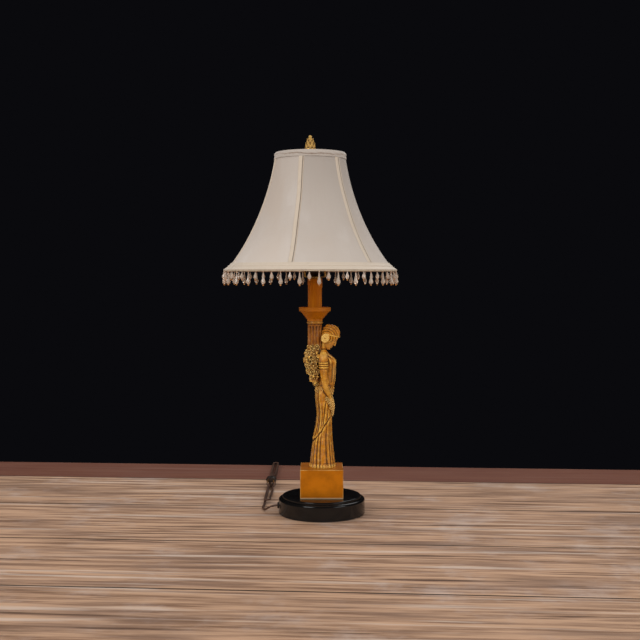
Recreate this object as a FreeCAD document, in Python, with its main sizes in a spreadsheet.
import FreeCAD, Part
import math
import os
import Sketcher

# Figural table lamp: a turned base, a plinth block, a standing figure with flowers behind it, a fluted
# column, a cup and a candle cover, a lamp socket with its bulb, a harp, and a six-panel bell shade with a
# bead fringe and a leafy finial. Millimetres. The origin is the centre of the base's underside, +Z is up,
# the figure faces +X, and the cord leaves the base at its rear, towards -X.

os.makedirs("parts", exist_ok=True)
doc = FreeCAD.newDocument("FiguralTableLamp")
vector = FreeCAD.Vector

SIZES = [
    # base
    ("felt_thickness", 2), ("felt_inset", 2.4), ("base_radius", 88.4), ("base_shoulder_height", 32),
    ("base_shoulder_width", 7.9), ("base_height", 37), ("base_edge_round", 4.5), ("disc_edge_round", 2.2),
    ("recess_radius", 30), ("recess_height", 28), ("foot_clearance", 0.2),
    # the threaded pipe that holds the lamp together
    ("pipe_radius", 4.85), ("pipe_bore_radius", 3.25), ("pipe_clearance", 0.3), ("pipe_tail", 1),
    ("pipe_bend_low", 234), ("pipe_bend_high", 316), ("pipe_bend_radius", 80), ("column_axis", 14),
    ("washer_radius", 14), ("washer_thickness", 1.6), ("nut_circumradius", 8.3), ("nut_height", 4.6),
    # block
    ("block_half_width", 43.5), ("block_height", 58), ("block_edge", 1),
    # figure
    ("hem_front", 27.3), ("hem_back", 23.4), ("hem_half_width", 26),
    ("knee_front", 21), ("knee_back", 10), ("knee_half_width", 16.5), ("knee_rise", 97),
    ("hip_front", 22), ("hip_back", 12), ("hip_half_width", 20.5), ("hip_rise", 140),
    ("waist_front", 27.5), ("waist_back", 7), ("waist_half_width", 14.5), ("waist_rise", 172),
    ("bust_front", 30.4), ("bust_back", 5), ("bust_half_width", 18), ("bust_rise", 220),
    ("shoulder_front", 17), ("shoulder_back", 6), ("shoulder_half_width", 22), ("shoulder_rise", 235),
    ("neck_radius", 5.6), ("neck_base_radius", 7), ("neck_offset", 4), ("head_offset", 17.5),
    ("head_rise", 267), ("head_tilt", 33),
    ("head_half_length", 20), ("head_half_width", 15.5), ("head_half_height", 24.5),
    ("arm_radius", 8.2), ("elbow_radius", 6.6), ("wrist_radius", 4.4), ("arm_offset", 4),
    ("arm_half_spacing", 24.5),
    ("shoulder_joint_rise", 228), ("elbow_rise", 172), ("wrist_rise", 141), ("wrist_offset", 18),
    ("wrist_half_spacing", 14), ("hand_offset", 20), ("hand_half_spacing", 4.3), ("hand_rise", 124),
    ("hand_radius", 5.4),
    ("post_radius", 11), ("post_bottom_rise", 150), ("post_top_rise", 235), ("fit_gap", 0.3),
    # flowers behind the figure
    ("flower_radius", 8.4), ("flower_rows", 6), ("flower_row_step", 15.4), ("flower_first_rise", 161),
    ("bunch_depth", 11.5), ("bunch_half_width", 15), ("bunch_offset", 17),
    # column, cup and candle
    ("column_radius", 14.6), ("column_top", 388), ("flute_radius", 2.3), ("flute_count", 12),
    ("ring_radius", 16.6), ("ring_height", 6), ("cup_neck_radius", 15.8), ("cup_neck_height", 4),
    ("cup_collar_radius", 16.8), ("cup_cone_radius", 30), ("cup_cone_height", 16),
    ("cup_rim_radius", 32.5), ("cup_rim_height", 8), ("cup_dish_depth", 1.5), ("cup_dish_radius", 29.5),
    ("candle_radius", 14.4), ("candle_wall", 1.8), ("candle_seat_depth", 6), ("candle_height", 65),
    ("candle_drip_radius", 15.6), ("candle_drip_height", 7), ("candle_lip_height", 3),
    # socket
    ("check_ring_radius", 15.2), ("check_ring_height", 2.2), ("saddle_thickness", 1.6),
    ("saddle_half_width", 6), ("saddle_reach", 20.4), ("saddle_rise", 14), ("socket_cap_radius", 16.9),
    ("socket_cap_height", 20), ("socket_cap_neck", 8), ("socket_shell_radius", 16),
    ("socket_height", 56), ("socket_wall", 0.6), ("liner_wall", 1), ("core_radius", 13.6), ("stem_gap", 0.8),
    ("core_height", 20), ("screw_shell_radius", 13.9), ("bulb_cap_radius", 13),
    ("bulb_cap_height", 25), ("bulb_cap_taper", 3), ("contact_radius", 3), ("contact_height", 2),
    ("bulb_radius", 30), ("bulb_height", 84), ("bulb_neck_height", 40), ("bulb_neck_top_radius", 27),
    ("switch_stem_radius", 2), ("switch_stem_reach", 27),
    ("switch_knob_radius", 5.5), ("switch_knob_length", 12), ("switch_rise", 32),
    # harp
    ("harp_wire_radius", 1.6), ("harp_top", 724), ("harp_half_width", 54), ("harp_lean", 9.5),
    ("sleeve_radius", 2.9), ("sleeve_top_radius", 2.6), ("sleeve_clearance", 0.45), ("sleeve_height", 14),
    ("stud_radius", 3.1), ("stud_height", 16), ("stud_seat_radius", 5.9), ("turn_gap", 0.1),
    # shade
    ("shade_top", 737.6), ("shade_top_radius", 71.5), ("bell_hollow", 15), ("skirt_line_height", 511.6),
    ("shade_bottom_radius", 177.8), ("rim_drop", 13.6), ("rim_flare", 16.6),
    ("cloth_thickness", 0.8), ("trim_thickness", 1.1), ("trim_gap", 0.1),
    ("top_trim_height", 12.5), ("seam_width", 12.5), ("panel_count", 6), ("seam_turn", 13),
    ("frame_wire_radius", 1.3), ("frame_gap", 0.2), ("ring_clearance", 0.6), ("lining_thickness", 0.4),
    ("lining_drop", 6.5), ("spider_washer_radius", 11), ("spider_washer_thickness", 1.4),
    ("spider_root_radius", 7.7), ("spider_bend_radius", 22), ("spider_arms", 3),
    ("bead_tape_height", 2.6), ("bead_tape_thickness", 1.2), ("strand_pairs", 30), ("long_strand", 31),
    ("short_strand", 21), ("bead_radius", 4.3), ("bead_length", 15), ("short_bead_radius", 3.9),
    ("short_bead_length", 11), ("thread_radius", 0.7), ("tip_bead_radius", 2),
    # finial
    ("finial_base_radius", 7), ("finial_base_height", 7), ("finial_radius", 13.4),
    ("finial_wide_rise", 19), ("finial_height", 49.9), ("finial_tip_radius", 3.4), ("finial_neck_radius", 5),
    ("finial_swell_radius", 10.4), ("finial_swell_rise", 12), ("finial_taper_radius", 11.8),
    ("finial_taper_rise", 30), ("finial_throat_radius", 5), ("finial_throat_rise", 41),
    ("finial_ball_neck_radius", 2.4),
    # cord
    ("cord_radius", 2.4), ("cord_exit_height", 15), ("cord_lift", 0.05), ("lead_bend", 5.5),
    ("bushing_radius", 4.6), ("bushing_flange_radius", 6.4), ("bushing_flange", 2.5),
    ("bushing_length", 12), ("hank_axis", 116), ("hank_near", 87), ("hank_far", 527),
    ("hank_half_width", 5.4), ("hank_waist_half_width", 3.1), ("hank_layer_gap", 0.7),
    ("hank_waist", 262), ("hank_waist_reach", 45), ("hank_waist_lift", 1.7), ("hank_lead_in", 10),
    ("hank_settle", 18),
    ("tie_half_length", 5), ("tie_thickness", 1.2), ("plug_half_width", 9.5), ("plug_height", 11),
    ("plug_length", 26), ("plug_edge", 3), ("plug_gap", 0.4), ("plug_lead_in", 12),
    ("blade_spacing", 12.7), ("blade_thickness", 1.5), ("blade_height", 6.3),
    ("blade_length", 17),
]

sheet = doc.addObject("Spreadsheet::Sheet", "Sizes")
for row, (alias, number) in enumerate(SIZES, 1):
    sheet.set("A%d" % row, alias)
    sheet.set("B%d" % row, str(number))
    sheet.setAlias("B%d" % row, alias)
doc.recompute()
v = {alias: float(sheet.get(alias)) for alias, number in SIZES}
pieces = []


# ---- tools for making pieces -------------------------------------------------------------------------

def amount(sum_of_sizes):
    """Value of a sum such as "base_height + block_height - fit_gap"."""
    total = 0.0
    sign = 1
    for word in sum_of_sizes.split():
        if word in "+-":
            sign = -1 if word == "-" else 1
        else:
            total += sign * (float(word) if word[0].isdigit() else v[word])
    return total


def formula(sum_of_sizes):
    """The same sum as an expression on the sheet."""
    words = [word if word in "+-" or word[0].isdigit() else "Sizes." + word for word in sum_of_sizes.split()]
    return " ".join(words)


def origin_plane(body, role):
    return next(plane for plane in body.Origin.OriginFeatures if plane.Role == role)


def new_body(label, axis_x="0"):
    body = doc.addObject("PartDesign::Body", label)
    body.Label = label
    if axis_x != "0":
        body.setExpression("Placement.Base.x", "-(" + formula(axis_x) + ")")
    pieces.append(body)
    return body


def new_sketch(body, name, role):
    sketch = body.newObject("Sketcher::SketchObject", name)
    sketch.AttachmentSupport = (origin_plane(body, role), [""])
    sketch.MapMode = "FlatFace"
    return sketch


def closed_outline(sketch, corners):
    """A polygon whose corners sit at sums of sizes, each held to the origin."""
    points = [vector(amount(across), amount(up), 0) for across, up in corners]
    count = len(points)
    for i in range(count):
        sketch.addGeometry(Part.LineSegment(points[i], points[(i + 1) % count]))
    for i in range(count):
        sketch.addConstraint(Sketcher.Constraint("Coincident", i, 2, (i + 1) % count, 1))
    for i, (across, up) in enumerate(corners):
        for kind, text, axis in (("DistanceX", across, -2), ("DistanceY", up, -1)):
            if text == "0":
                sketch.addConstraint(Sketcher.Constraint("PointOnObject", i, 1, axis))
                continue
            number = sketch.addConstraint(Sketcher.Constraint(kind, -1, 1, i, 1, amount(text)))
            sketch.setExpression("Constraints[%d]" % number, formula(text))


def turned(label, corners, axis_x="0"):
    """A piece turned about a vertical axis from an outline of radius and height."""
    body = new_body(label, axis_x)
    sketch = new_sketch(body, label + "_profile", "XZ_Plane")
    closed_outline(sketch, corners)
    turn = body.newObject("PartDesign::Revolution", label + "_turn")
    turn.Profile = sketch
    turn.ReferenceAxis = (sketch, ["V_Axis"])
    turn.Angle = 360
    doc.recompute()
    return body


def rounded(body, radius, height, size):
    """Round the circular edges of a turned piece that lie at a radius and a height."""
    base = body.Tip
    names = []
    for number, edge in enumerate(base.Shape.Edges, 1):
        box = edge.BoundBox
        if abs(box.ZMax - box.ZMin) < 1e-4 and abs(box.ZMax - amount(height)) < 1e-3:
            if abs(box.YMax - amount(radius)) < 1e-3:
                names.append("Edge%d" % number)
    feature = body.newObject("PartDesign::Fillet", body.Name + "_round%d" % len(body.Group))
    feature.Base = (base, names)
    feature.setExpression("Radius", formula(size))
    doc.recompute()


def shaped(label, shape):
    """A piece whose shape is worked out below from the sheet's sizes."""
    piece = doc.addObject("Part::Feature", label)
    piece.Label = label
    piece.Shape = shape
    pieces.append(piece)
    return piece


def cylinder(name, radius, height, x="0", z="0"):
    rod = doc.addObject("Part::Cylinder", name)
    rod.setExpression("Radius", formula(radius))
    rod.setExpression("Height", formula(height))
    rod.setExpression("Placement.Base.x", "-(" + formula(x) + ")")
    rod.setExpression("Placement.Base.z", formula(z))
    return rod


def cut(label, base, tool):
    piece = doc.addObject("Part::Cut", label)
    piece.Label = label
    piece.Base = base
    piece.Tool = tool
    pieces.append(piece)
    doc.recompute()
    return piece


def rounded_path(points, share=0.45, report=""):
    """Straight runs joined by tangent arcs, each arc as large as its two runs allow."""
    edges = []
    radii = []
    start = points[0]
    for before, corner, after in zip(points, points[1:], points[2:]):
        into = (corner - before).normalize()
        out = (after - corner).normalize()
        half_turn = into.getAngle(out) / 2
        reach = share * min(before.distanceToPoint(corner), corner.distanceToPoint(after))
        radius = reach / math.tan(half_turn)
        radii.append(radius)
        first = corner - into * reach
        last = corner + out * reach
        inward = (out - into).normalize()
        middle = corner + inward * (radius / math.cos(half_turn) - radius)
        edges.append(Part.LineSegment(start, first).toShape())
        edges.append(Part.Arc(first, middle, last).toShape())
        start = last
    edges.append(Part.LineSegment(start, points[-1]).toShape())
    if report:
        print(report, "radii", " ".join("%.1f" % radius for radius in radii))
    return Part.Wire(edges)


def tube(path, radius):
    """A round rod along a path, and a check that its volume is its section times its length."""
    start = path.Edges[0].valueAt(path.Edges[0].FirstParameter)
    along = path.Edges[0].tangentAt(path.Edges[0].FirstParameter)
    ring = Part.Wire([Part.makeCircle(radius, start, along)])
    solid = path.makePipeShell([ring], True, False)
    expected = math.pi * radius * radius * path.Length
    if abs(solid.Volume / expected - 1) > 0.02:
        raise ValueError("a tube's volume is not its section times its length")
    return solid


def ellipse_wire(front, back, half_width, height):
    """A level oval that reaches from -back to front along X and half_width each way along Y."""
    stretch = FreeCAD.Matrix()
    stretch.scale((front + back) / 2, half_width, 1)
    stretch.move(vector((front - back) / 2, 0, height))
    return Part.Wire(Part.Wire([Part.makeCircle(1)]).transformGeometry(stretch).Edges)


def ball(centre, radius):
    return Part.makeSphere(radius, centre)


def limb(start, end, start_radius, end_radius):
    """A tapered limb with round ends."""
    along = end - start
    cone = Part.makeCone(start_radius, end_radius, along.Length, start, along)
    return [cone, ball(start, start_radius), ball(end, end_radius)]


def box_between(low, high):
    return Part.makeBox(high.x - low.x, high.y - low.y, high.z - low.z, low)


# ---- base --------------------------------------------------------------------------------------------

turned("felt_pad", [("0", "0"), ("base_radius - felt_inset", "0"),
                    ("base_radius - felt_inset", "felt_thickness"), ("0", "felt_thickness")])

disc_radius = "base_radius - base_shoulder_width"
base = turned("base_disc", [
    ("pipe_radius + pipe_clearance", "recess_height"), ("recess_radius", "recess_height"),
    ("recess_radius", "felt_thickness"), ("base_radius", "felt_thickness"),
    ("base_radius", "base_shoulder_height"), (disc_radius, "base_shoulder_height"),
    (disc_radius, "base_height"), ("pipe_radius + pipe_clearance", "base_height")])
rounded(base, "base_radius", "base_shoulder_height", "base_edge_round")
rounded(base, disc_radius, "base_height", "disc_edge_round")
whole = base.Shape.Volume
bore_sketch = new_sketch(base, "cord_bore_circle", "YZ_Plane")
bore_sketch.addGeometry(Part.Circle(vector(0, v["cord_exit_height"], 0), vector(0, 0, 1),
                                    v["bushing_radius"] + v["foot_clearance"]))
bore_sketch.addConstraint(Sketcher.Constraint("PointOnObject", 0, 3, -2))
held = bore_sketch.addConstraint(Sketcher.Constraint("DistanceY", -1, 1, 0, 3, v["cord_exit_height"]))
bore_sketch.setExpression("Constraints[%d]" % held, formula("cord_exit_height"))
held = bore_sketch.addConstraint(Sketcher.Constraint("Radius", 0, v["bushing_radius"] + v["foot_clearance"]))
bore_sketch.setExpression("Constraints[%d]" % held, formula("bushing_radius + foot_clearance"))
bore = base.newObject("PartDesign::Pocket", "cord_bore")
bore.Profile = bore_sketch
bore.setExpression("Length", formula("base_radius + bushing_flange"))
doc.recompute()
if base.Shape.BoundBox.XMin > -v["base_radius"] + 1e-3 or base.Shape.Volume >= whole:
    raise ValueError("the cord bore does not cut the base")

washer = cylinder("washer_blank", "washer_radius", "washer_thickness",
                  z="recess_height - washer_thickness")
washer_hole = cylinder("washer_hole", "pipe_radius + foot_clearance", "recess_height", z="felt_thickness")
cut("base_washer", washer, washer_hole)
hexagon = doc.addObject("Part::Prism", "nut_blank")
hexagon.Polygon = 6
hexagon.setExpression("Circumradius", formula("nut_circumradius"))
hexagon.setExpression("Height", formula("nut_height"))
hexagon.setExpression("Placement.Base.z", formula("recess_height - washer_thickness - nut_height"))
nut_hole = cylinder("nut_hole", "pipe_radius + foot_clearance", "recess_height", z="felt_thickness")
cut("base_locknut", hexagon, nut_hole)

# ---- block -------------------------------------------------------------------------------------------

block = new_body("plinth_block")
block_sketch = new_sketch(block, "block_outline", "XY_Plane")
half = v["block_half_width"]
corners = [vector(-half, -half, 0), vector(half, -half, 0), vector(half, half, 0), vector(-half, half, 0)]
for i in range(4):
    block_sketch.addGeometry(Part.LineSegment(corners[i], corners[(i + 1) % 4]))
for i in range(4):
    block_sketch.addConstraint(Sketcher.Constraint("Coincident", i, 2, (i + 1) % 4, 1))
    block_sketch.addConstraint(Sketcher.Constraint("Horizontal" if i % 2 == 0 else "Vertical", i))
block_sketch.addConstraint(Sketcher.Constraint("Symmetric", 0, 1, 1, 2, -1, 1))
for side in (0, 1):
    held = block_sketch.addConstraint(Sketcher.Constraint("Distance", side, 2 * half))
    block_sketch.setExpression("Constraints[%d]" % held, "2 * Sizes.block_half_width")
block_pad = block.newObject("PartDesign::Pad", "block_pad")
block_pad.Profile = block_sketch
block_pad.setExpression("Length", formula("block_height"))
block.setExpression("Placement.Base.z", formula("base_height"))
doc.recompute()
hole_sketch = new_sketch(block, "block_hole_circle", "XY_Plane")
hole_sketch.addGeometry(Part.Circle(vector(0, 0, 0), vector(0, 0, 1), v["pipe_radius"] + v["pipe_clearance"]))
hole_sketch.addConstraint(Sketcher.Constraint("Coincident", 0, 3, -1, 1))
held = hole_sketch.addConstraint(Sketcher.Constraint("Radius", 0, v["pipe_radius"] + v["pipe_clearance"]))
hole_sketch.setExpression("Constraints[%d]" % held, formula("pipe_radius + pipe_clearance"))
block_hole = block.newObject("PartDesign::Pocket", "block_hole")
block_hole.Profile = hole_sketch
block_hole.Type = "ThroughAll"
block_hole.Reversed = True
doc.recompute()
block_edges = block.newObject("PartDesign::Chamfer", "block_edges")
upright = ["Edge%d" % n for n, edge in enumerate(block_hole.Shape.Edges, 1)
           if abs(edge.BoundBox.XMax) > half - 1e-3 or abs(edge.BoundBox.XMin) > half - 1e-3]
block_edges.Base = (block_hole, upright)
block_edges.setExpression("Size", formula("block_edge"))
doc.recompute()

# ---- pipe and the lead in it ---------------------------------------------------------------------------

deck = v["base_height"] + v["block_height"]
column_x = -v["column_axis"]
candle_top = (v["column_top"] + v["ring_height"] + v["cup_neck_height"] + v["cup_cone_height"]
              + v["cup_rim_height"] - v["candle_seat_depth"] + v["candle_height"])
saddle_bottom = candle_top + v["check_ring_height"]
socket_bottom = saddle_bottom + v["saddle_thickness"]
pipe_bottom = v["recess_height"] - v["washer_thickness"] - v["nut_height"] - v["pipe_tail"]
pipe_top = socket_bottom + v["socket_cap_neck"]


def pipe_path(bottom, top):
    """The pipe's centre line: up through the block, a gentle double bend, and up the column."""
    low = vector(0, 0, v["pipe_bend_low"])
    high = vector(column_x, 0, v["pipe_bend_high"])
    half_turn = (high - low).getAngle(vector(0, 0, 1)) / 2
    reach = v["pipe_bend_radius"] * math.tan(half_turn)
    slope = (high - low).normalize()
    up = vector(0, 0, 1)
    corners = [(low, up, slope), (high, slope, up)]
    edges = []
    start = vector(0, 0, bottom)
    for corner, into, out in corners:
        first = corner - into * reach
        last = corner + out * reach
        inward = (out - into).normalize()
        middle = corner + inward * (v["pipe_bend_radius"] / math.cos(half_turn) - v["pipe_bend_radius"])
        edges.append(Part.LineSegment(start, first).toShape())
        edges.append(Part.Arc(first, middle, last).toShape())
        start = last
    edges.append(Part.LineSegment(start, vector(column_x, 0, top)).toShape())
    return edges


pipe_line = Part.Wire(pipe_path(pipe_bottom, pipe_top))
channel = tube(Part.Wire(pipe_path(pipe_bottom, pipe_top)), v["pipe_radius"] + v["pipe_clearance"])
pipe_solid = tube(pipe_line, v["pipe_radius"]).cut(tube(pipe_line, v["pipe_bore_radius"]))
shaped("lamp_pipe", pipe_solid)

exit_x = -(v["base_radius"] + v["bushing_flange"])
exit_z = v["cord_exit_height"]
bend = v["lead_bend"]
on_slope = bend * math.sin(math.pi / 4)
turn_in = [Part.LineSegment(vector(exit_x, 0, exit_z), vector(-bend, 0, exit_z)).toShape(),
           Part.Arc(vector(-bend, 0, exit_z), vector(-bend + on_slope, 0, exit_z + bend - on_slope),
                    vector(0, 0, exit_z + bend)).toShape()]
shaped("lead_inside", tube(Part.Wire(turn_in + pipe_path(exit_z + bend, pipe_top)), v["cord_radius"]))

forward = vector(1, 0, 0)
mouth = vector(exit_x, 0, exit_z)
base_rear = vector(-v["base_radius"], 0, exit_z)
sleeve_part = Part.makeCylinder(v["bushing_radius"], v["bushing_length"], base_rear, forward)
flange_part = Part.makeCylinder(v["bushing_flange_radius"], v["bushing_flange"], mouth, forward)
lead_hole = Part.makeCylinder(v["cord_radius"] + v["foot_clearance"],
                              v["bushing_length"] + v["bushing_flange"], mouth, forward)
shaped("cord_bushing", sleeve_part.fuse(flange_part).removeSplitter().cut(lead_hole))

# ---- figure ------------------------------------------------------------------------------------------

stations = [("hem", 0.0), ("knee", v["knee_rise"]), ("hip", v["hip_rise"]), ("waist", v["waist_rise"]),
            ("bust", v["bust_rise"]), ("shoulder", v["shoulder_rise"])]
STEPS_BETWEEN_STATIONS = 4
ovals = []
for (name, rise), (next_name, next_rise) in zip(stations, stations[1:]):
    for step in range(STEPS_BETWEEN_STATIONS):
        share = step / STEPS_BETWEEN_STATIONS
        eased = share * share * (3 - 2 * share)
        front, back, half_width = [v[name + part] + eased * (v[next_name + part] - v[name + part])
                                   for part in ("_front", "_back", "_half_width")]
        ovals.append(ellipse_wire(front, back, half_width, deck + rise + share * (next_rise - rise)))
ovals.append(ellipse_wire(v["shoulder_front"], v["shoulder_back"], v["shoulder_half_width"],
                          deck + v["shoulder_rise"]))
dress = Part.makeLoft(ovals, True, True)
neck_base = vector(v["neck_offset"], 0, deck + v["shoulder_rise"] - v["neck_radius"])
head_centre = vector(v["head_offset"], 0, deck + v["head_rise"])
neck = Part.makeCone(v["neck_base_radius"], v["neck_radius"], (head_centre - neck_base).Length, neck_base,
                     head_centre - neck_base)
head_shape = FreeCAD.Matrix()
head_shape.scale(v["head_half_length"], v["head_half_width"], v["head_half_height"])
head = Part.makeSphere(1).transformGeometry(head_shape)
head.rotate(vector(0, 0, 0), vector(0, 1, 0), v["head_tilt"])
head.translate(head_centre)
limbs = []
JOINT_STEP = 0.98  # each limb starts a little thinner than the joint it leaves
for side in (-1, 1):
    shoulder = vector(v["arm_offset"], side * (v["arm_half_spacing"] - v["arm_radius"] / 2),
                      deck + v["shoulder_joint_rise"])
    elbow = vector(v["arm_offset"], side * v["arm_half_spacing"], deck + v["elbow_rise"])
    wrist = vector(v["wrist_offset"], side * v["wrist_half_spacing"], deck + v["wrist_rise"])
    hand = vector(v["hand_offset"], side * v["hand_half_spacing"], deck + v["hand_rise"])
    limbs += limb(shoulder, elbow, v["arm_radius"], v["elbow_radius"])
    limbs += limb(elbow, wrist, v["elbow_radius"] * JOINT_STEP, v["wrist_radius"])
    limbs += limb(wrist, hand, v["wrist_radius"] * JOINT_STEP, v["hand_radius"])
post = Part.makeCylinder(v["post_radius"], v["post_top_rise"] - v["post_bottom_rise"],
                         vector(column_x, 0, deck + v["post_bottom_rise"]))
figure = dress.fuse([neck, head, post] + limbs)
column_room = Part.makeCylinder(v["column_radius"] + v["fit_gap"], v["column_top"],
                                vector(column_x, 0, deck + v["post_top_rise"]))
figure = figure.cut(column_room).cut(channel)
shaped("figure_casting", figure)

# ---- flowers -----------------------------------------------------------------------------------------

# The rows are widest just above their middle. Every other row is turned by half a step.
FLOWERS_IN_ROW = 5
FLOWER_STEP = 42.0
ROW_LEAD = 1.4
ROW_SWELL = 0.6
blooms = []
rows = int(v["flower_rows"])
for row_number in range(rows):
    height = deck + v["flower_first_rise"] + row_number * v["flower_row_step"]
    fullness = math.sin(math.pi * (row_number + ROW_LEAD) / (rows + ROW_LEAD)) ** ROW_SWELL
    for step in range(FLOWERS_IN_ROW):
        place = step - (FLOWERS_IN_ROW - 1) / 2 + (0.5 if row_number % 2 else 0)
        angle = math.radians(180 + FLOWER_STEP * place)
        blooms.append(ball(vector(-v["bunch_offset"] + v["bunch_depth"] * fullness * math.cos(angle),
                                  v["bunch_half_width"] * fullness * math.sin(angle), height),
                           v["flower_radius"]))
bunch = blooms[0].fuse(blooms[1:])
bunch = bunch.cut(figure).cut(column_room).cut(channel)
bunch_solids = sorted(bunch.Solids, key=lambda solid: solid.Volume)
shaped("flower_bunch", bunch_solids[-1])

# ---- column, cup, candle -------------------------------------------------------------------------------

column_bottom = deck + v["post_top_rise"]
column = Part.makeCylinder(v["column_radius"], v["column_top"] - column_bottom,
                           vector(column_x, 0, column_bottom))
flutes = []
for step in range(int(v["flute_count"])):
    angle = 2 * math.pi * (step + 0.5) / v["flute_count"]
    centre = vector(column_x + v["column_radius"] * math.cos(angle), v["column_radius"] * math.sin(angle),
                    column_bottom)
    flutes.append(Part.makeCylinder(v["flute_radius"], v["column_top"] - column_bottom, centre))
column = column.cut(flutes)
collar = Part.makeCylinder(v["ring_radius"], v["ring_height"], vector(column_x, 0, v["column_top"]))
column = column.fuse(collar).cut(channel)
shaped("fluted_column", column)

cup_bottom = "column_top + ring_height"
cone_bottom = cup_bottom + " + cup_neck_height"
rim_bottom = cone_bottom + " + cup_cone_height"
rim_top = rim_bottom + " + cup_rim_height"
cup = turned("candle_cup", [
    ("pipe_radius + pipe_clearance", cup_bottom), ("cup_neck_radius", cup_bottom),
    ("cup_neck_radius", cone_bottom), ("cup_collar_radius", cone_bottom), ("cup_cone_radius", rim_bottom),
    ("cup_rim_radius", rim_bottom), ("cup_rim_radius", rim_top), ("cup_dish_radius", rim_top),
    ("cup_dish_radius", rim_top + " - cup_dish_depth"),
    ("candle_radius + foot_clearance", rim_top + " - cup_dish_depth"),
    ("candle_radius + foot_clearance", rim_top + " - candle_seat_depth"),
    ("pipe_radius + pipe_clearance", rim_top + " - candle_seat_depth")], "column_axis")

candle_foot = rim_top + " - candle_seat_depth"
candle_end = candle_foot + " + candle_height"
turned("candle_cover", [
    ("candle_radius - candle_wall", candle_foot), ("candle_radius", candle_foot),
    ("candle_radius", candle_end + " - candle_drip_height"),
    ("candle_drip_radius", candle_end + " - candle_lip_height"),
    ("candle_radius", candle_end), ("candle_radius - candle_wall", candle_end)], "column_axis")

# ---- socket and bulb -----------------------------------------------------------------------------------

turned("check_ring", [
    ("pipe_radius + foot_clearance", candle_end), ("check_ring_radius", candle_end),
    ("check_ring_radius", candle_end + " + check_ring_height"),
    ("pipe_radius + foot_clearance", candle_end + " + check_ring_height")], "column_axis")

plate = box_between(vector(column_x - v["saddle_reach"] - v["saddle_thickness"] / 2, -v["saddle_half_width"],
                           saddle_bottom),
                    vector(column_x + v["saddle_reach"] + v["saddle_thickness"] / 2, v["saddle_half_width"],
                           socket_bottom))
prongs = []
for side in (-1, 1):
    middle = column_x + side * v["saddle_reach"]
    corner = vector(v["saddle_thickness"] / 2, v["harp_wire_radius"], 0)
    prongs.append(box_between(vector(middle, 0, socket_bottom) - corner,
                              vector(middle, 0, socket_bottom + v["saddle_rise"] / 2) + corner))
saddle_hole = Part.makeCylinder(v["pipe_radius"] + v["foot_clearance"], v["saddle_thickness"],
                                vector(column_x, 0, saddle_bottom))
shaped("harp_saddle", plate.fuse(prongs).removeSplitter().cut(saddle_hole))

seat = candle_end + " + check_ring_height + saddle_thickness"
turned("socket_cap", [
    ("pipe_radius + foot_clearance", seat), ("socket_cap_neck", seat),
    ("socket_cap_radius", seat + " + socket_cap_neck"), ("socket_cap_radius", seat + " + socket_cap_height"),
    ("socket_cap_radius - socket_wall", seat + " + socket_cap_height"),
    ("socket_cap_radius - socket_wall", seat + " + socket_cap_neck + socket_wall"),
    ("socket_cap_neck", seat + " + socket_cap_neck"),
    ("pipe_radius + foot_clearance", seat + " + socket_cap_neck")], "column_axis")
shell_foot = seat + " + socket_cap_neck + socket_wall + foot_clearance"
shell_top = seat + " + socket_height"
socket_shell = turned("socket_shell_blank", [
    ("socket_shell_radius - socket_wall", shell_foot), ("socket_shell_radius", shell_foot),
    ("socket_shell_radius", shell_top), ("socket_shell_radius - socket_wall", shell_top)], "column_axis")
liner = turned("socket_liner_blank", [
    ("socket_shell_radius - socket_wall - liner_wall", shell_foot),
    ("socket_shell_radius - socket_wall", shell_foot), ("socket_shell_radius - socket_wall", shell_top),
    ("socket_shell_radius - socket_wall - liner_wall", shell_top)], "column_axis")
pieces.remove(socket_shell)
pieces.remove(liner)
knob_height = seat + " + switch_rise"
stem_room = doc.addObject("Part::Cylinder", "stem_room")
stem_room.setExpression("Radius", formula("switch_stem_radius + foot_clearance"))
stem_room.setExpression("Height", formula("switch_stem_reach"))
stem_room.Placement.Rotation = FreeCAD.Rotation(vector(1, 0, 0), -90)
stem_room.setExpression("Placement.Base.x", "-Sizes.column_axis")
stem_room.setExpression("Placement.Base.z", formula(knob_height))
cut("socket_shell", socket_shell, stem_room)
cut("socket_liner", liner, stem_room)
core_top = seat + " + socket_cap_neck + socket_wall + foot_clearance + core_height"
turned("socket_core", [
    ("0", shell_foot), ("core_radius", shell_foot), ("core_radius", core_top),
    ("0", core_top)], "column_axis")
turned("screw_shell", [
    ("bulb_cap_radius + foot_clearance", core_top), ("screw_shell_radius", core_top),
    ("screw_shell_radius", shell_top), ("bulb_cap_radius + foot_clearance", shell_top)], "column_axis")
turned("centre_contact", [
    ("0", core_top), ("contact_radius", core_top), ("contact_radius", core_top + " + contact_height"),
    ("0", core_top + " + contact_height")], "column_axis")
bulb_foot = core_top + " + contact_height + foot_clearance"
turned("bulb_cap", [
    ("0", bulb_foot), ("contact_radius", bulb_foot), ("bulb_cap_radius", bulb_foot + " + bulb_cap_taper"),
    ("bulb_cap_radius", bulb_foot + " + bulb_cap_height"), ("0", bulb_foot + " + bulb_cap_height")],
    "column_axis")

glass_foot = amount(bulb_foot) + v["bulb_cap_height"]
glass_top = glass_foot + v["bulb_height"]
globe = ball(vector(column_x, 0, glass_top - v["bulb_radius"]), v["bulb_radius"])
glass_neck = Part.makeCone(v["bulb_cap_radius"], v["bulb_neck_top_radius"], v["bulb_neck_height"],
                           vector(column_x, 0, glass_foot))
shaped("bulb_glass", globe.fuse(glass_neck))

sideways = vector(0, 1, 0)
stem_start = vector(column_x, v["core_radius"] + v["stem_gap"], amount(knob_height))
knob_start = vector(column_x, v["switch_stem_reach"] - v["foot_clearance"], stem_start.z)
stem = Part.makeCylinder(v["switch_stem_radius"], v["switch_stem_reach"] - stem_start.y, stem_start, sideways)
knob = Part.makeCylinder(v["switch_knob_radius"], v["switch_knob_length"], knob_start, sideways)
shaped("switch_knob", stem.fuse(knob).removeSplitter())

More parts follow.
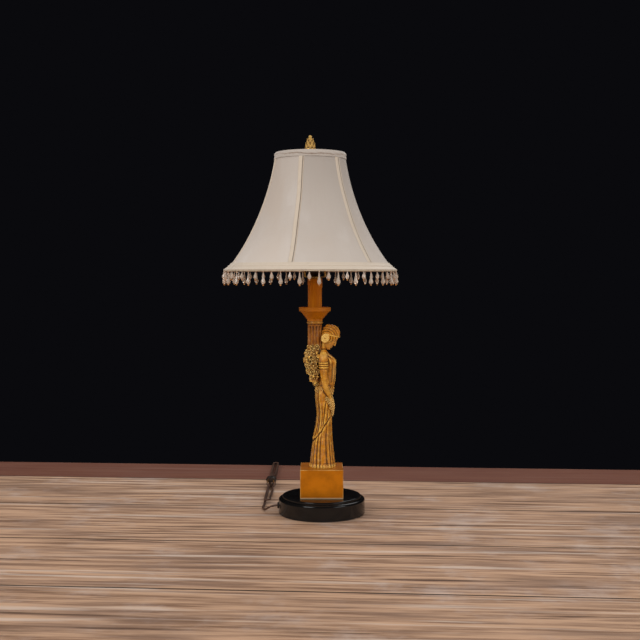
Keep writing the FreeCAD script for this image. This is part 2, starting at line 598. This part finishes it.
# ---- harp --------------------------------------------------------------------------------------------

leg_bottom = socket_bottom + v["saddle_rise"] / 2 + v["foot_clearance"]
shade_x = column_x - v["harp_lean"]
LEG_SHARE = 0.12  # the share of the bow's height at which its straight legs end


def harp_point(share_across, share_up):
    """A point of the bow, which leans back evenly with height."""
    height = leg_bottom + share_up * (v["harp_top"] - v["harp_wire_radius"] - leg_bottom)
    across = v["saddle_reach"] if share_up <= LEG_SHARE else v["harp_half_width"]
    lean = v["harp_lean"] * max(0.0, share_up - LEG_SHARE) / (1 - LEG_SHARE)
    return vector(column_x - lean + share_across * across, 0, height)


half_bow = [(1, 0), (1, LEG_SHARE), (0.98, 0.3), (1.0, 0.52), (0.82, 0.76), (0.5, 0.93), (0.16, 1.0)]
bow = [harp_point(across, up) for across, up in half_bow]
bow += [harp_point(-across, up) for across, up in reversed(half_bow)]
harp = tube(rounded_path(bow), v["harp_wire_radius"])
stud_bottom = v["harp_top"] - 2 * v["harp_wire_radius"]
stud = Part.makeCylinder(v["stud_radius"], v["stud_height"] + 2 * v["harp_wire_radius"],
                         vector(shade_x, 0, stud_bottom))
stud_seat = Part.makeCylinder(v["stud_seat_radius"], 2 * v["harp_wire_radius"],
                              vector(shade_x, 0, stud_bottom))
shaped("harp", harp.fuse([stud, stud_seat]))
for side, name in ((-1, "harp_sleeve_rear"), (1, "harp_sleeve_front")):
    foot = vector(column_x + side * v["saddle_reach"], 0, socket_bottom)
    outer = Part.makeCone(v["sleeve_radius"], v["sleeve_top_radius"], v["sleeve_height"], foot)
    inner = Part.makeCylinder(v["harp_wire_radius"] + v["sleeve_clearance"], v["sleeve_height"], foot)
    shaped(name, outer.cut(inner))

# ---- shade -------------------------------------------------------------------------------------------


def circle_centre(a, b, c):
    """Centre of the circle through three points of the bell's outline, as radius and height."""
    d = 2 * (a[0] * (b[1] - c[1]) + b[0] * (c[1] - a[1]) + c[0] * (a[1] - b[1]))
    squares = [p[0] ** 2 + p[1] ** 2 for p in (a, b, c)]
    across = (squares[0] * (b[1] - c[1]) + squares[1] * (c[1] - a[1]) + squares[2] * (a[1] - b[1])) / d
    up = (squares[0] * (c[0] - b[0]) + squares[1] * (a[0] - c[0]) + squares[2] * (b[0] - a[0])) / d
    return across, up


bell_top = (v["shade_top_radius"], v["shade_top"])
bell_foot = (v["shade_bottom_radius"] - v["rim_flare"], v["skirt_line_height"])
# Midway the bell's side lies in from the straight line between its ends.
bell_waist = ((bell_top[0] + bell_foot[0]) / 2 - v["bell_hollow"], (bell_top[1] + bell_foot[1]) / 2)
bell = circle_centre(bell_top, bell_waist, bell_foot)
bell_curve = math.hypot(bell[0] - bell_top[0], bell[1] - bell_top[1])


def bell_radius(height, inset=0.0):
    return bell[0] - math.sqrt((bell_curve + inset) ** 2 - (height - bell[1]) ** 2)


def bell_point(height, inset=0.0):
    return vector(bell_radius(height, inset), 0, height)


def bell_shell(bottom, top, outer_inset, inner_inset):
    """A ring of the bell between two heights and two depths in from the cloth's outside."""
    middle = (bottom + top) / 2
    edges = [Part.Arc(bell_point(bottom, outer_inset), bell_point(middle, outer_inset),
                      bell_point(top, outer_inset)).toShape(),
             Part.LineSegment(bell_point(top, outer_inset), bell_point(top, inner_inset)).toShape(),
             Part.Arc(bell_point(top, inner_inset), bell_point(middle, inner_inset),
                      bell_point(bottom, inner_inset)).toShape(),
             Part.LineSegment(bell_point(bottom, inner_inset), bell_point(bottom, outer_inset)).toShape()]
    return Part.Face(Part.Wire(edges)).revolve(vector(0, 0, 0), vector(0, 0, 1), 360)


def turned_ring(outline):
    points = [vector(radius, 0, height) for radius, height in outline]
    return Part.Face(Part.makePolygon(points + points[:1])).revolve(vector(0, 0, 0), vector(0, 0, 1), 360)


def on_shade(shape):
    moved = shape.copy()
    moved.translate(vector(shade_x, 0, 0))
    return moved


cloth = v["cloth_thickness"]
ring_wire = v["frame_wire_radius"]
frame_inset = cloth + v["frame_gap"] + ring_wire
lining_inset = cloth + 2 * v["frame_gap"] + 2 * ring_wire
skirt_line = v["skirt_line_height"]
shaped("shade_fabric", on_shade(bell_shell(skirt_line, v["shade_top"], 0, cloth)))
lining_top = v["shade_top"] - v["lining_drop"]
shaped("shade_lining", on_shade(bell_shell(skirt_line, lining_top, lining_inset,
                                           lining_inset + v["lining_thickness"])))
trim = v["trim_thickness"]
trim_foot = v["shade_top"] - v["top_trim_height"]
shaped("top_trim", on_shade(bell_shell(trim_foot, v["shade_top"] + trim / 2, -trim, -v["trim_gap"])))
rim_radius = v["shade_bottom_radius"]
rim_height = skirt_line - v["rim_drop"]
shaped("bottom_trim", on_shade(turned_ring([
    (bell_radius(skirt_line) + trim, skirt_line + trim), (rim_radius, rim_height + trim),
    (rim_radius, rim_height), (rim_radius - 2 * trim, rim_height),
    (bell_radius(skirt_line) - cloth, skirt_line), (bell_radius(skirt_line), skirt_line),
    (bell_radius(skirt_line + trim), skirt_line + trim)])))

seam_shell = bell_shell(skirt_line + trim + v["frame_gap"], trim_foot - v["frame_gap"], -trim, -v["trim_gap"])
seams = []
ribs = []
top_ring_height = v["shade_top"] - 2 * ring_wire
bottom_ring_height = skirt_line - ring_wire
rib_top = top_ring_height - ring_wire - v["frame_gap"]
rib_bottom = bottom_ring_height + ring_wire + v["frame_gap"]
rib_line = Part.Arc(bell_point(rib_bottom, frame_inset), bell_point((rib_top + rib_bottom) / 2, frame_inset),
                    bell_point(rib_top, frame_inset))
rib = tube(Part.Wire([rib_line.toShape()]), ring_wire)
for step in range(int(v["panel_count"])):
    angle = 360 * step / v["panel_count"] - 90 - v["seam_turn"]
    window = box_between(vector(0, -v["seam_width"] / 2, skirt_line),
                         vector(rim_radius, v["seam_width"] / 2, v["shade_top"]))
    window.rotate(vector(0, 0, 0), vector(0, 0, 1), angle)
    seams += seam_shell.common(window).Solids
    turned_rib = rib.copy()
    turned_rib.rotate(vector(0, 0, 0), vector(0, 0, 1), angle)
    ribs.append(turned_rib)
shaped("seam_trims", on_shade(Part.makeCompound(seams)))
shaped("shade_ribs", on_shade(Part.makeCompound(ribs)))

top_ring_radius = bell_radius(top_ring_height, frame_inset)
bottom_ring_radius = bell_radius(rib_bottom, frame_inset) + v["ring_clearance"]
shaped("shade_top_ring", Part.makeTorus(top_ring_radius, ring_wire, vector(shade_x, 0, top_ring_height)))
shaped("shade_bottom_ring", Part.makeTorus(bottom_ring_radius, ring_wire,
                                           vector(shade_x, 0, bottom_ring_height)))

spider_foot = v["harp_top"] + v["turn_gap"]
spider = Part.makeCylinder(v["spider_washer_radius"], v["spider_washer_thickness"], vector(0, 0, spider_foot))
arms = []
arm_end = top_ring_radius - ring_wire - v["frame_gap"]
for step in range(int(v["spider_arms"])):
    foot = vector(v["spider_root_radius"], 0, spider_foot + ring_wire)
    path = rounded_path([foot, vector(v["spider_bend_radius"], 0, foot.z),
                         vector(arm_end, 0, top_ring_height)])
    arm = tube(path, ring_wire)
    arm.rotate(vector(0, 0, 0), vector(0, 0, 1), 360 * step / v["spider_arms"] + 90)
    arms.append(arm)
stud_room = Part.makeCylinder(v["stud_radius"] + v["fit_gap"], v["stud_height"], vector(0, 0, v["harp_top"]))
spider = spider.fuse(arms).cut(stud_room)
shaped("shade_spider", on_shade(spider))

tape_top = rim_height - v["frame_gap"]
tape_bottom = tape_top - v["bead_tape_height"]
tape_outer = rim_radius - v["frame_gap"]
shaped("bead_tape", on_shade(turned_ring([
    (tape_outer, tape_top), (tape_outer, tape_bottom), (tape_outer - v["bead_tape_thickness"], tape_bottom),
    (tape_outer - v["bead_tape_thickness"], tape_top)])))


BEAD_WIDEST = 0.3  # the share of a drop's length, from its foot, at which it is widest


def strand(drop, bead_radius, bead_length):
    """A hanging thread with a long drop of crystal and a small tip bead, as one turned solid."""
    thread = v["thread_radius"]
    tip = v["tip_bead_radius"]
    bottom = tape_bottom - v["frame_gap"] - drop
    outline = [vector(0, 0, bottom), vector(tip, 0, bottom + tip), vector(thread, 0, bottom + 2 * tip),
               vector(bead_radius, 0, bottom + 2 * tip + bead_length * BEAD_WIDEST),
               vector(thread, 0, bottom + 2 * tip + bead_length),
               vector(thread, 0, tape_bottom - v["frame_gap"]), vector(0, 0, tape_bottom - v["frame_gap"])]
    return Part.Face(Part.makePolygon(outline + outline[:1])).revolve(vector(0, 0, 0), vector(0, 0, 1), 360)


fringe_radius = tape_outer - v["bead_tape_thickness"] / 2
for name, drop, bead_radius, bead_length, offset in (
        ("beads_long", v["long_strand"], v["bead_radius"], v["bead_length"], 0),
        ("beads_short", v["short_strand"], v["short_bead_radius"], v["short_bead_length"], 0.5)):
    one = strand(drop - v["bead_tape_height"] - 2 * v["frame_gap"], bead_radius, bead_length)
    strands = []
    for step in range(int(v["strand_pairs"])):
        angle = 2 * math.pi * (step + offset) / v["strand_pairs"]
        copy = one.copy()
        copy.translate(vector(fringe_radius * math.cos(angle), fringe_radius * math.sin(angle), 0))
        strands.append(copy)
    shaped(name, on_shade(Part.makeCompound(strands)))

# ---- finial ------------------------------------------------------------------------------------------

finial_foot = "harp_top + turn_gap + spider_washer_thickness + turn_gap"
finial_neck = finial_foot + " + finial_base_height"
shade_axis = "column_axis + harp_lean"
turned("finial", [
    ("stud_radius + foot_clearance", finial_foot), ("finial_base_radius", finial_foot),
    ("finial_neck_radius", finial_neck), ("finial_swell_radius", finial_foot + " + finial_swell_rise"),
    ("finial_radius", finial_foot + " + finial_wide_rise"),
    ("finial_taper_radius", finial_foot + " + finial_taper_rise"),
    ("finial_throat_radius", finial_foot + " + finial_throat_rise"),
    ("finial_ball_neck_radius", finial_foot + " + finial_height - finial_tip_radius - finial_tip_radius"),
    ("finial_tip_radius", finial_foot + " + finial_height - finial_tip_radius"),
    ("0", finial_foot + " + finial_height"), ("0", "harp_top + stud_height + foot_clearance"),
    ("stud_radius + foot_clearance", "harp_top + stud_height + foot_clearance")], shade_axis)

# ---- cord --------------------------------------------------------------------------------------------

# The free cord leaves the bushing, drops to the table and turns along it to the hank. CORD_LAY is how the
# cord lies: how far back, sideways and above the table each point is, from the bushing's mouth.
CORD_LAY = [(9.1, 0, 12.55), (19.1, 3, 6.55), (26.1, 11, 0.95), (30.1, 24, 0), (32.1, 41, 0)]
low = v["cord_radius"] + v["cord_lift"]
hank_x = -v["hank_axis"]
hank_start = vector(hank_x - v["hank_half_width"], v["hank_near"] - v["hank_lead_in"], low)
settled = vector(hank_start.x, hank_start.y - v["hank_settle"], low)
route = [mouth] + [vector(exit_x - back, side, low + rise) for back, side, rise in CORD_LAY]
free_path = rounded_path(route + [settled, hank_start], report="free cord")
shaped("cord_free", tube(free_path, v["cord_radius"]))

# The hank: four runs in two layers, drawn in at the waist, as one unbroken tube.
high = low + 2 * v["cord_radius"] + v["hank_layer_gap"]
near = v["hank_near"]
far = v["hank_far"]
waist = v["hank_waist"]
reach = v["hank_waist_reach"]
lift = v["hank_waist_lift"]
plug_back = waist + v["plug_length"] / 2
plug_bottom = high + lift + v["cord_radius"] + v["plug_gap"]
plug_middle = plug_bottom + v["plug_height"] / 2


def run(side, height, start, end, climb=0.0):
    """One run of the hank between its end loops, drawn in and lifted at the waist."""
    wide = hank_x + side * v["hank_half_width"]
    narrow = hank_x + side * v["hank_waist_half_width"]
    stations = [(wide, waist - reach, 0), (narrow, waist - reach / 3, lift),
                (narrow, waist + reach / 3, lift), (wide, waist + reach, 0)]
    if start > end:
        stations.reverse()
    points = [vector(x, y, height + rise) for x, y, rise in stations]
    if climb:
        points.append(vector(wide, end + reach * 2, height))
        points.append(vector(wide, end + reach, height + climb))
    return points


loop = v["hank_half_width"]
far_low = [vector(hank_x - loop, far, low), vector(hank_x + loop, far, low)]
near_high = [vector(hank_x + loop, near, high), vector(hank_x - loop, near, high)]
far_high = [vector(hank_x - loop, far, high), vector(hank_x + loop, far, high)]

# The last run moves in over the others as it climbs to the plug: how far it is off the hank's axis, in half
# widths, how far it is past the waist, in waist reaches, and how much of its climb is done.
LAST_RUN = [(1.0, 3.2, 0.0), (0.7, 2.2, 0.1), (0.2, 1.2, 1.0)]
last_run = [vector(hank_x + loop * across, waist + reach * along, high + (plug_middle - high) * climbed)
            for across, along, climbed in LAST_RUN]
plug_mouth = vector(hank_x, plug_back, plug_middle)
last_run += [plug_mouth + vector(0, v["plug_lead_in"], 0), plug_mouth]
hank_points = ([hank_start] + run(-1, low, near, far) + far_low
               + run(1, low, far, near, high - low) + near_high
               + run(-1, high, near, far) + far_high + last_run)
hank_path = rounded_path(hank_points, report="hank")
shaped("cord_hank", tube(hank_path, v["cord_radius"]))
print("cord length: free %.0f, hank %.0f, inside %.0f mm" % (
    free_path.Length, hank_path.Length, pipe_top + v["base_radius"]))


def least_gap(path, radius, step=1.5):
    """The least gap of a tube to itself, measured between points of its centre line."""
    count = int(path.Length / step)
    points = path.discretize(Number=count)
    spacing = path.Length / (count - 1)
    skip = int(math.pi * 2 * radius / spacing) + 2
    smallest = None
    for i, point in enumerate(points):
        for other in points[i + skip:]:
            gap = point.distanceToPoint(other) - 2 * radius
            if smallest is None or gap < smallest:
                smallest = gap
    return smallest


print("hank's least gap to itself %.2f mm" % least_gap(hank_path, v["cord_radius"]))

plug_low = vector(hank_x - v["plug_half_width"], waist - v["plug_length"] / 2, plug_bottom)
plug_high = vector(hank_x + v["plug_half_width"], plug_back, plug_bottom + v["plug_height"])
plug = box_between(plug_low, plug_high)
long_edges = [edge for edge in plug.Edges if abs(edge.BoundBox.YLength - v["plug_length"]) < 1e-3]
plug = plug.makeFillet(v["plug_edge"], long_edges)
shaped("plug_body", plug)
blades = []
for side in (-1, 1):
    middle = hank_x + side * v["blade_spacing"] / 2
    corner = vector(v["blade_thickness"] / 2, 0, v["blade_height"] / 2)
    root = vector(middle, plug_low.y, plug_middle)
    blades.append(box_between(root - corner - vector(0, v["blade_length"], 0), root + corner))
shaped("plug_blades", Part.makeCompound(blades))

tie_half_width = v["plug_half_width"] + v["fit_gap"]
tie_low = vector(hank_x - tie_half_width, waist - v["tie_half_length"], v["tie_thickness"] + v["cord_lift"])
tie_high = vector(hank_x + tie_half_width, waist + v["tie_half_length"], plug_high.z + v["fit_gap"])
wall = vector(v["tie_thickness"], 0, v["tie_thickness"])
tie = box_between(tie_low - wall, tie_high + wall).cut(box_between(tie_low, tie_high))
shaped("cord_tie", tie)

# ---- checks and files --------------------------------------------------------------------------------

doc.recompute()
for item in doc.Objects:
    if "Invalid" in item.State or "Error" in item.State:
        raise ValueError("%s did not build: %s" % (item.Label, item.State))
for piece in pieces:
    if piece.Shape.isNull() or not piece.Shape.isValid() or not piece.Shape.Solids:
        raise ValueError("%s has no valid solid" % piece.Label)
for piece in pieces:
    piece.Shape.exportStep("parts/%s.step" % piece.Label)
print("%d pieces, %d solids" % (len(pieces), sum(len(piece.Shape.Solids) for piece in pieces)))
